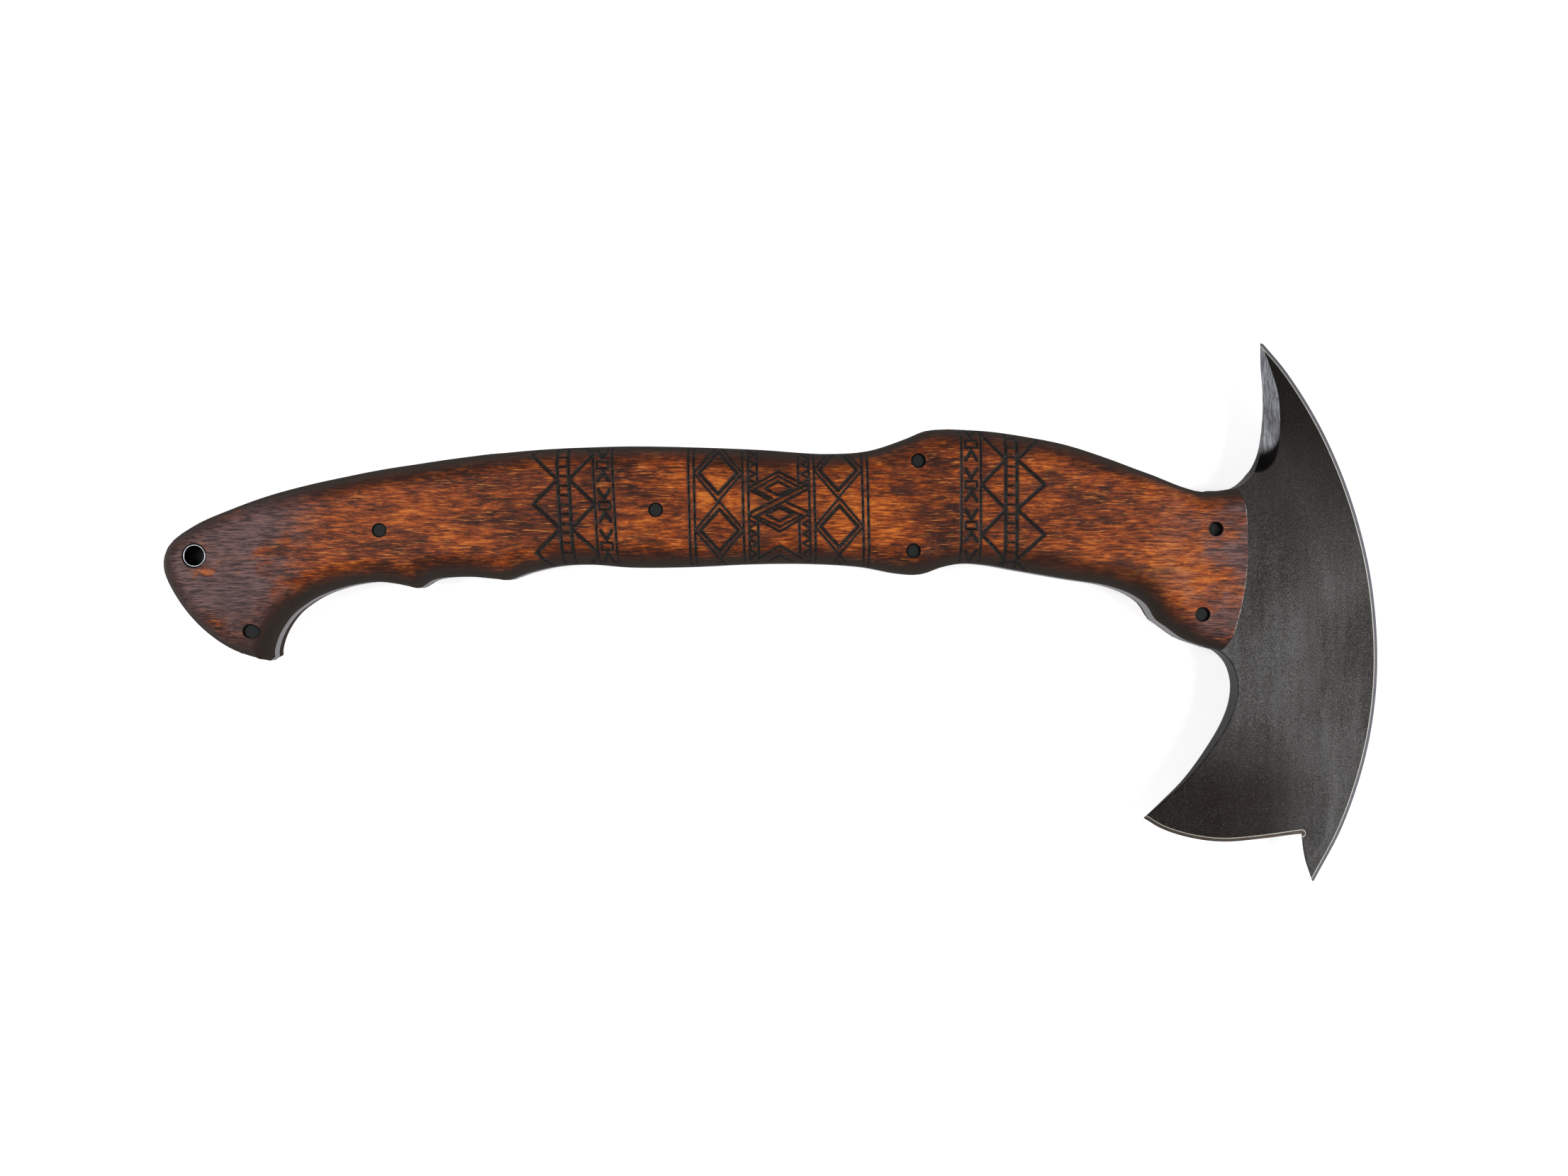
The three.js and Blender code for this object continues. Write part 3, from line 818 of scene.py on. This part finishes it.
class ScaleSurface:
    """Heights and distances over the plan of one scale."""

    def __init__(self, grid):
        sides = (grid[:, 0], grid[:, -1], grid[-1, [0, -1]])
        self.sides = [side[:: max(1, len(side) // SIDE_POINTS)] for side in sides]
        self.end = grid[0]

    def edge_distance(self, xy):
        """Distance from the nearest side; the head end doesn't count."""
        return np.min([line_distance(xy, side) for side in self.sides], axis=0)

    def glue_height(self, xy):
        """The face on the tang, one glue line above it."""
        return MID_Z + plate_half_thickness(xy[:, 0]) + GLUE_LINE

    def height(self, xy):
        """The outer face: crowned, rounded to its sides, carved, with a chamfered head end."""
        d = self.edge_distance(xy)
        inward = np.clip(d / SCALE_ROUND_WIDTH, 0, 1)
        wall = MID_Z + plate_half_thickness(xy[:, 0]) + SCALE_WALL
        crown = CROWN_DROP * (1 - np.clip(d / CROWN_WIDTH, 0, 1)) ** 2 * inward
        t = 1 - inward
        z = wall + (TOTAL_THICKNESS - crown - wall) * np.sqrt(1 - t * t)
        depth = np.clip((CARVED_SHOULDER - carved_distance(xy)) / CARVED_WALL, 0, 1)
        z -= CARVED_DEPTH * depth * depth * (3 - 2 * depth) * np.clip(d / CARVED_RUNOUT, 0, 1)
        chamfer = np.clip(END_CHAMFER - line_distance(xy, self.end), 0, END_CHAMFER)
        z -= chamfer * np.clip(d / CHAMFER_RUNOUT, 0, 1)
        return np.maximum(z, wall - WALL_MARGIN)


def handle_scale(name, node, surface, grid, material, faces_down):
    """One scale; the back one is the front one turned over in height."""
    ends = [0, grid.shape[1] - 1]
    points, faces = slab(grid, surface.glue_height, surface.height, ends)
    if faces_down:
        points[:, 2] = TOTAL_THICKNESS - points[:, 2]
        faces = [face[::-1] for face in faces]
    piece = add_mesh(name, points, faces, node)
    cut_holes(piece)
    xyz = design_points(piece)
    xy = xyz[:, :2]
    store(piece, "drop", xyz[:, 2] if faces_down else TOTAL_THICKNESS - xyz[:, 2])
    store(piece, "hole_distance", hole_distance(xy))
    store(piece, "carved", carved_distance(xy))
    store(piece, "edge", surface.edge_distance(xy))
    store(piece, "end_distance", line_distance(xy, surface.end))
    store(piece, "design_x", xyz[:, 0])
    store(piece, "design_y", xyz[:, 1])
    finish_piece(piece, node, material, crease=62)


# ---- pins and tube ----

PIN_CHAMFER = 0.2
PIN_SIDES = 64
TUBE_SIDES = 96
LIP_STEPS = 6


def pins(material):
    """Every pin, as long as its CAD node."""
    for name, (x, y, low_z, high_z) in PINS.items():
        points, faces = solid_pin(PIN_RADIUS, PIN_CHAMFER, (x, y), low_z, high_z, PIN_SIDES)
        piece = add_mesh(f"{name}_turned", points, faces, name)
        finish_piece(piece, name, material, crease=30)


def lanyard_tube(material):
    """An open tube with a half-round lip at both ends."""
    low_z, high_z = TUBE_LOW.z / MM, TUBE_HIGH.z / MM
    mid_radius = (TUBE_RADIUS + TUBE_BORE_RADIUS) / 2
    lip = (TUBE_RADIUS - TUBE_BORE_RADIUS) / 2
    turns = [k * math.pi / LIP_STEPS for k in range(LIP_STEPS + 1)]
    upper = [(mid_radius + lip * math.cos(a), high_z - lip + lip * math.sin(a)) for a in turns]
    lower = [(mid_radius - lip * math.cos(a), low_z + lip - lip * math.sin(a)) for a in turns]
    points, faces = revolve(upper + lower, TUBE_CENTRE, TUBE_SIDES)
    piece = add_mesh("turned_tube", points, faces, "lanyard_tube")
    store(piece, "radius", np.linalg.norm(design_points(piece)[:, :2] - TUBE_CENTRE, axis=1))
    finish_piece(piece, "lanyard_tube", material, crease=50)


# ---- materials ----


class Shader:
    """Helpers that build one material's nodes."""

    def __init__(self, name):
        self.material = bpy.data.materials.new(name)
        self.material.use_nodes = True
        self.tree = self.material.node_tree
        self.surface = self.tree.nodes["Principled BSDF"]

    def node(self, kind, **settings):
        made = self.tree.nodes.new(kind)
        for key, value in settings.items():
            setattr(made, key, value)
        return made

    def link(self, source, target):
        self.tree.links.new(source, target)

    def attribute(self, name):
        return self.node("ShaderNodeAttribute", attribute_name=name).outputs["Fac"]

    def place(self, scale):
        """Position in the part's frame times a scale per axis."""
        coordinates = self.node("ShaderNodeTexCoord").outputs["Object"]
        mapping = self.node("ShaderNodeMapping")
        mapping.inputs["Scale"].default_value = scale
        self.link(coordinates, mapping.inputs["Vector"])
        return mapping.outputs["Vector"]

    def noise(self, scale, detail=3, roughness=0.5, distortion=0):
        """Noise from about 0 to 1; scale is in cells per metre along each axis."""
        made = self.node("ShaderNodeTexNoise")
        made.inputs["Scale"].default_value = 1
        made.inputs["Detail"].default_value = detail
        made.inputs["Roughness"].default_value = roughness
        made.inputs["Distortion"].default_value = distortion
        self.link(self.place(scale), made.inputs["Vector"])
        return made.outputs["Fac"]

    def ramp(self, value, low, high, start=0, stop=1):
        """start at low and stop at high, smooth between."""
        made = self.node("ShaderNodeMapRange", interpolation_type="SMOOTHSTEP")
        made.inputs["From Min"].default_value = low
        made.inputs["From Max"].default_value = high
        made.inputs["To Min"].default_value = start
        made.inputs["To Max"].default_value = stop
        self.link(value, made.inputs["Value"])
        return made.outputs["Result"]

    def math(self, operation, a, b):
        made = self.node("ShaderNodeMath", operation=operation)
        for socket, value in zip(made.inputs, (a, b)):
            if isinstance(value, (int, float)):
                socket.default_value = value
            else:
                self.link(value, socket)
        return made.outputs["Value"]

    def colours(self, value, stops):
        """A colour ramp through (position, colour) stops."""
        made = self.node("ShaderNodeValToRGB")
        ramp = made.color_ramp
        while len(ramp.elements) < len(stops):
            ramp.elements.new(0.5)
        for element, (position, colour) in zip(ramp.elements, stops):
            element.position = position
            element.color = (*colour, 1)
        self.link(value, made.inputs["Fac"])
        return made.outputs["Color"]

    def mix(self, share, a, b):
        """Colour a, with this share of colour b."""
        made = self.node("ShaderNodeMix", data_type="RGBA", blend_type="MIX")
        for socket, value in (("A", a), ("B", b)):
            target = [s for s in made.inputs if s.name == socket and s.type == "RGBA"][0]
            if isinstance(value, tuple):
                target.default_value = (*value, 1)
            else:
                self.link(value, target)
        factor = [s for s in made.inputs if s.name == "Factor" and s.type == "VALUE"][0]
        if isinstance(share, (int, float)):
            factor.default_value = share
        else:
            self.link(share, factor)
        return [s for s in made.outputs if s.type == "RGBA"][0]

    def bump(self, height, distance):
        """Relief of the surface; distance is its depth in metres."""
        made = self.node("ShaderNodeBump")
        made.inputs["Distance"].default_value = distance
        made.inputs["Strength"].default_value = 1.0
        self.link(height, made.inputs["Height"])
        self.link(made.outputs["Normal"], self.surface.inputs["Normal"])

    def set(self, **values):
        """Constant values straight on the surface's sockets."""
        for name, value in values.items():
            socket = name.replace("_", " ").title().replace("Ior", "IOR")
            self.surface.inputs[socket].default_value = value


def bare_wood(s, x, grain, flecks):
    """Stained wood: patches, mottle and grain, with light and dark flecks."""
    patches = s.noise((28, 50, 40), detail=3, roughness=0.5)
    mottle = s.noise((150, 420, 150), detail=5, roughness=0.7, distortion=0.4)
    tone = s.math("ADD", s.math("MULTIPLY", patches, 0.36), s.math("MULTIPLY", mottle, 0.34))
    tone = s.math("ADD", tone, s.math("MULTIPLY", grain, 0.52))
    # the grip is stained a little darker than the neck
    tone = s.math("ADD", tone, s.ramp(x, -80, 70, -0.012, 0.010))
    base = s.colours(
        tone,
        (
            (0.515, (0.030, 0.008, 0.005)),
            (0.575, (0.105, 0.021, 0.006)),
            (0.625, (0.240, 0.044, 0.007)),
            (0.670, (0.42, 0.082, 0.010)),
            (0.745, (0.72, 0.205, 0.026)),
        ),
    )
    base = s.mix(s.ramp(flecks, 0.57, 0.70, 0, 0.7), base, (0.78, 0.26, 0.055))
    return s.mix(s.ramp(flecks, 0.45, 0.33, 0, 0.6), base, (0.036, 0.011, 0.008))


def blots_scorch_and_sheen(s, base, x, grain):
    """Dark blots everywhere and purplish scorching at both ends, streaked with painted sheen."""
    blots = s.noise((45, 70, 60), detail=4, roughness=0.6)
    y = s.attribute("design_y")
    at_pommel = s.math("MULTIPLY", s.ramp(x, -136, -160), s.ramp(blots, 0.38, 0.50))
    at_pommel = s.math("MULTIPLY", at_pommel, s.ramp(y, -20, 0, 0.35, 1))
    at_head = s.math("MULTIPLY", s.ramp(x, 108, 134), s.ramp(blots, 0.38, 0.56))
    ends_scorch_and_sheen = s.math("ADD", s.math("MULTIPLY", at_pommel, 0.92), s.math("MULTIPLY", at_head, 0.9))
    base = s.mix(s.ramp(blots, 0.53, 0.66, 0, 0.75), base, (0.040, 0.014, 0.010))
    # the dark purplish tone is scorching; the light purplish-grey streaks along the grain are
    # painted sheen
    purple = s.mix(s.ramp(grain, 0.38, 0.62), (0.040, 0.024, 0.026), (0.190, 0.110, 0.105))
    return s.mix(ends_scorch_and_sheen, base, purple)


def burnt_and_shaded_edges(s, base, edge, border):
    """Darker along the sides, partly burnt wood and partly painted shade on the rounded edges: a
    wide, wavy brown band, then a narrow nearly black border.
    """
    waves = s.noise((40, 40, 40), detail=3)
    wavy = s.math("SUBTRACT", edge, s.math("MULTIPLY", waves, 9.0))
    # burn and painted shade: a wavy dark band over the rounded sides
    base = s.mix(s.ramp(wavy, 3.0, -2.6, 0, 0.92), base, (0.024, 0.008, 0.005))
    # burn and painted shade: the nearly black border
    return s.mix(s.math("MULTIPLY", border, 0.95), base, (0.024, 0.017, 0.012))


def dark_cuts(s, base):
    """Dark grooves with painted glints in them, and painted shade on the walls of the holes."""
    carved = s.attribute("carved")
    base = s.mix(s.ramp(carved, 0.7, 0.0, 0, 0.55), base, (0.035, 0.014, 0.009))
    # painted glints: light specks in the dark grooves
    groove_glints = s.ramp(s.noise((2600, 2600, 2600), detail=1), 0.66, 0.74, 0, 0.5)
    groove = s.mix(groove_glints, (0.010, 0.008, 0.007), (0.28, 0.23, 0.18))
    base = s.mix(s.ramp(carved, 0.14, -0.02, 0, 1), base, groove)
    # painted shade on the walls of the holes
    return s.mix(s.ramp(s.attribute("hole_distance"), 0.3, 0.05), base, (0.012, 0.008, 0.006))


def head_end(s, base):
    """Dark end grain below the chamfered front edge, which carries a painted sparkling highlight.
    """
    end = s.attribute("end_distance")
    drop = s.attribute("drop")
    end_grain = s.math("MULTIPLY", s.ramp(end, 0.30, 0.10), s.ramp(drop, 0.3, 0.9))
    base = s.mix(end_grain, base, (0.020, 0.010, 0.008))
    # painted highlight: a sparkling light line along the chamfered front edge
    painted_sparkle = s.ramp(s.noise((1400, 1400, 1400), detail=2), 0.42, 0.6, 0.1, 0.8)
    highlight_corner = s.math("MULTIPLY", s.ramp(end, 0.42, 0.30), s.ramp(drop, 0.9, 0.5))
    return s.mix(s.math("MULTIPLY", highlight_corner, painted_sparkle), base, (0.60, 0.56, 0.54))


def wood_material():
    s = Shader("stained_wood")
    x = s.attribute("design_x")
    edge = s.attribute("edge")
    border = s.ramp(edge, 3.2, 1.0)
    grain = s.noise((240, 2000, 900), detail=5, roughness=0.7)
    flecks = s.noise((210, 2500, 900), detail=3, roughness=0.6)
    base = bare_wood(s, x, grain, flecks)
    base = blots_scorch_and_sheen(s, base, x, grain)
    base = burnt_and_shaded_edges(s, base, edge, border)
    base = dark_cuts(s, base)
    base = head_end(s, base)
    s.link(base, s.surface.inputs["Base Color"])
    roughness = s.ramp(grain, 0.3, 0.7, 0.46, 0.36)
    roughness = s.math("ADD", roughness, s.math("MULTIPLY", border, 0.4))
    s.link(roughness, s.surface.inputs["Roughness"])
    s.set(specular_ior_level=0.2)
    s.bump(s.math("ADD", grain, flecks), 0.00010)
    return s.material


def ground_steel(s, x, y, fine):
    """Mottled steel with painted shade, darker towards the spike and on the brownish beard, and
    small painted glints kept out of that shade.
    """
    streaks = s.noise((420, 40, 200), detail=3, roughness=0.6)
    clouds = s.noise((26, 18, 26), detail=3)
    tone = s.math("ADD", s.math("MULTIPLY", clouds, 0.78), s.math("MULTIPLY", streaks, 0.22))
    base = s.colours(tone, ((0.38, (0.026, 0.024, 0.023)), (0.62, (0.086, 0.085, 0.085))))
    # painted shade: darker towards the top, darker still at the spike
    base = s.mix(s.ramp(y, -15, 38, 0, 0.8), base, (0.015, 0.012, 0.010))
    base = s.mix(s.ramp(y, 30, 62, 0, 0.8), base, (0.006, 0.0045, 0.0035))
    # the beard's brown tint, darkened further as painted shade
    beard = s.math("MULTIPLY", s.ramp(y, -38, -64), s.ramp(x, 172, 150))
    base = s.mix(s.math("MULTIPLY", beard, 0.85), base, (0.012, 0.008, 0.006))
    shade = s.math("MAXIMUM", s.ramp(y, -15, 50, 0, 0.75), s.math("MULTIPLY", beard, 0.6))
    # painted glints: small light specks
    painted_spark = s.math("MULTIPLY", s.ramp(fine, 0.50, 0.66, 0, 0.6), s.math("SUBTRACT", 1.0, shade))
    base = s.mix(painted_spark, base, (0.16, 0.155, 0.15))
    return s.mix(s.ramp(fine, 0.50, 0.38, 0, 0.75), base, (0.012, 0.011, 0.010))


def swedge_tone(s, base, facet, rise, scratches):
    """The scratched swedge facet, painted lighter as a highlight, and painted shade on its
    plunge.
    """
    # painted highlight: the brushed facet lighter than the rest of the steel
    tone = s.mix(s.ramp(scratches, 0.35, 0.65), (0.14, 0.14, 0.15), (0.36, 0.37, 0.40))
    # painted shade at the plunge
    tone = s.mix(s.ramp(rise, 9, 5), tone, (0.006, 0.005, 0.005))
    return s.mix(facet, base, tone)


def bevels_with_painted_highlights(s, base):
    """The two edge bevels, each with a painted highlight line at its inner border."""
    bevels = (
        ("edge_distance", EDGE_BEVEL_WIDTH, (0.15, 0.147, 0.17)),
        ("beard_distance", BEARD_BEVEL_WIDTH, (0.11, 0.088, 0.075)),
    )
    for name, width, bevel in bevels:
        d = s.attribute(name)
        # painted highlight along the bevel's inner border
        base = s.mix(s.ramp(d, width + 0.08, width), base, (0.55, 0.54, 0.48))
        base = s.mix(s.ramp(d, width - 0.16, width - 0.24), base, bevel)
    return base


def steel_material():
    s = Shader("blade_steel")
    x = s.attribute("design_x")
    y = s.attribute("design_y")
    rise = s.attribute("swedge_height")
    facet = s.math("MULTIPLY", s.ramp(s.attribute("swedge_depth"), 0, 0.15), s.ramp(rise, 0, 0.3))
    fine = s.noise((2600, 2600, 2600), detail=3, roughness=0.8)
    scratches = s.noise((3000, 260, 900), detail=3, roughness=0.7)
    base = ground_steel(s, x, y, fine)
    base = swedge_tone(s, base, facet, rise, scratches)
    base = bevels_with_painted_highlights(s, base)
    # the tang is bare between the scales, and its edge is painted light grey for the light the
    # table throws up onto it
    tang = s.math("MULTIPLY", s.ramp(x, 128, 122), s.ramp(y, -28, -24))
    base = s.mix(tang, base, (0.38, 0.37, 0.39))
    s.link(base, s.surface.inputs["Base Color"])
    s.set(metallic=0.9, specular_ior_level=0.3)
    s.link(s.ramp(fine, 0.3, 0.7, 0.40, 0.52), s.surface.inputs["Roughness"])
    s.bump(s.math("ADD", fine, s.math("MULTIPLY", scratches, facet)), 0.00004)
    return s.material


def pin_material():
    s = Shader("black_pin")
    s.set(base_color=(0.018, 0.019, 0.019, 1), roughness=0.6, specular_ior_level=0.15)
    return s.material


def tube_material():
    s = Shader("tube_steel")
    # painted shade: the bore is dark
    inside = s.ramp(s.attribute("radius"), TUBE_BORE_RADIUS + 0.12, TUBE_BORE_RADIUS + 0.04)
    base = s.mix(inside, (0.33, 0.34, 0.37), (0.004, 0.004, 0.004))
    s.link(base, s.surface.inputs["Base Color"])
    s.set(metallic=1, roughness=0.32)
    return s.material


# ---- stage ----

# metres from the world's middle to the floor's sides
FLOOR_REACH = 3
FLOOR_GLOW = 0.6
# the glow starts and is full at these distances from the lanyard tube, in metres; closer in there
# is no glow, a painted shadow
GLOW_START = 0.004
GLOW_FULL = 0.009


def floor():
    """A white table that glows as a light, except under the lanyard tube, where the glow is cut
    out as a painted shadow of the axe.
    """
    mesh = bpy.data.meshes.new("floor")
    signs = ((-1, -1), (1, -1), (1, 1), (-1, 1))
    corners = [(FLOOR_REACH * x, FLOOR_REACH * y, 0) for x, y in signs]
    mesh.from_pydata(corners, [], [(0, 1, 2, 3)])
    piece = bpy.data.objects.new("floor", mesh)
    bpy.context.scene.collection.objects.link(piece)
    s = Shader("white_floor")
    s.set(base_color=(0.9, 0.9, 0.9, 1), roughness=0.8, emission_color=(1, 1, 1, 1))
    offset = s.node("ShaderNodeVectorMath", operation="DISTANCE")
    offset.inputs[1].default_value = (
        TUBE_CENTRE[0] * MM + PLACE[0],
        TUBE_CENTRE[1] * MM + PLACE[1],
        0,
    )
    s.link(s.node("ShaderNodeTexCoord").outputs["Object"], offset.inputs[0])
    # painted shadow: no glow close to the lanyard tube
    glow = s.ramp(offset.outputs["Value"], GLOW_START, GLOW_FULL, 0, FLOOR_GLOW)
    s.link(glow, s.surface.inputs["Emission Strength"])
    mesh.materials.append(s.material)
    piece.visible_glossy = False


# the room's brightness at its walls and overhead
ROOM_WALLS = 0.55
ROOM_OVERHEAD = 0.06


def area_light(name, place, target, size, power):
    """A softbox that faces its target; places and sizes in metres, power in watts."""
    data = bpy.data.lights.new(name, "AREA")
    data.shape = "RECTANGLE"
    data.size, data.size_y = size
    data.energy = power
    lamp = bpy.data.objects.new(name, data)
    lamp.location = place
    aim = Vector(target) - Vector(place)
    lamp.rotation_euler = aim.to_track_quat("-Z", "Y").to_euler()
    bpy.context.scene.collection.objects.link(lamp)


def lights():
    """Two softboxes high on either side and a room that darkens overhead."""
    world = bpy.data.worlds.new("studio")
    bpy.context.scene.world = world
    world.use_nodes = True
    tree = world.node_tree
    background = tree.nodes["Background"]
    background.inputs["Color"].default_value = (1, 1, 1, 1)
    direction = tree.nodes.new("ShaderNodeTexCoord")
    split = tree.nodes.new("ShaderNodeSeparateXYZ")
    fade = tree.nodes.new("ShaderNodeMapRange")
    fade.inputs["From Min"].default_value = 0.2
    fade.inputs["From Max"].default_value = 0.85
    fade.inputs["To Min"].default_value = ROOM_WALLS
    fade.inputs["To Max"].default_value = ROOM_OVERHEAD
    tree.links.new(direction.outputs["Generated"], split.inputs["Vector"])
    tree.links.new(split.outputs["Z"], fade.inputs["Value"])
    tree.links.new(fade.outputs["Result"], background.inputs["Strength"])
    area_light("right_softbox", (1.10, -0.16, 1.40), (0.1, 0, 0), (1.3, 0.6), 17)
    area_light("left_softbox", (-0.85, 0.10, 1.45), (-0.1, 0, 0), (0.6, 0.6), 10)


# millimetres above the table, and the lens and sensor in millimetres
CAMERA_HEIGHT = 388.9
CAMERA_LENS = 27.57
SENSOR_WIDTH = 36


def camera():
    """Straight above the design's origin."""
    data = bpy.data.cameras.new("camera")
    data.lens = CAMERA_LENS
    data.sensor_width = SENSOR_WIDTH
    data.clip_start = 0.01
    data.clip_end = 20
    eye = bpy.data.objects.new("camera", data)
    eye.location = (PLACE[0], PLACE[1], CAMERA_HEIGHT * MM)
    bpy.context.scene.collection.objects.link(eye)
    bpy.context.scene.camera = eye
    bpy.context.scene.view_settings.view_transform = "Standard"


# ---- assembly ----

carve_bands()
steel_plate(steel_material())
wood = wood_material()
plan = scale_grid()
outer = ScaleSurface(plan)
handle_scale("carved_front_scale", "front_scale", outer, plan, wood, False)
handle_scale("carved_back_scale", "back_scale", outer, plan, wood, True)
pins(pin_material())
lanyard_tube(tube_material())
floor()
lights()
camera()


def write_sizes():
    """Gathers the corners of the visual pieces, leaving out the CAD nodes and the floor; nothing
    is done with them.
    """
    corners = []
    for piece in bpy.context.scene.objects:
        if piece.type == "MESH" and piece.name not in frame["nodes"] and piece.name != "floor":
            corners += [piece.matrix_world @ vertex.co for vertex in piece.data.vertices]


write_sizes()
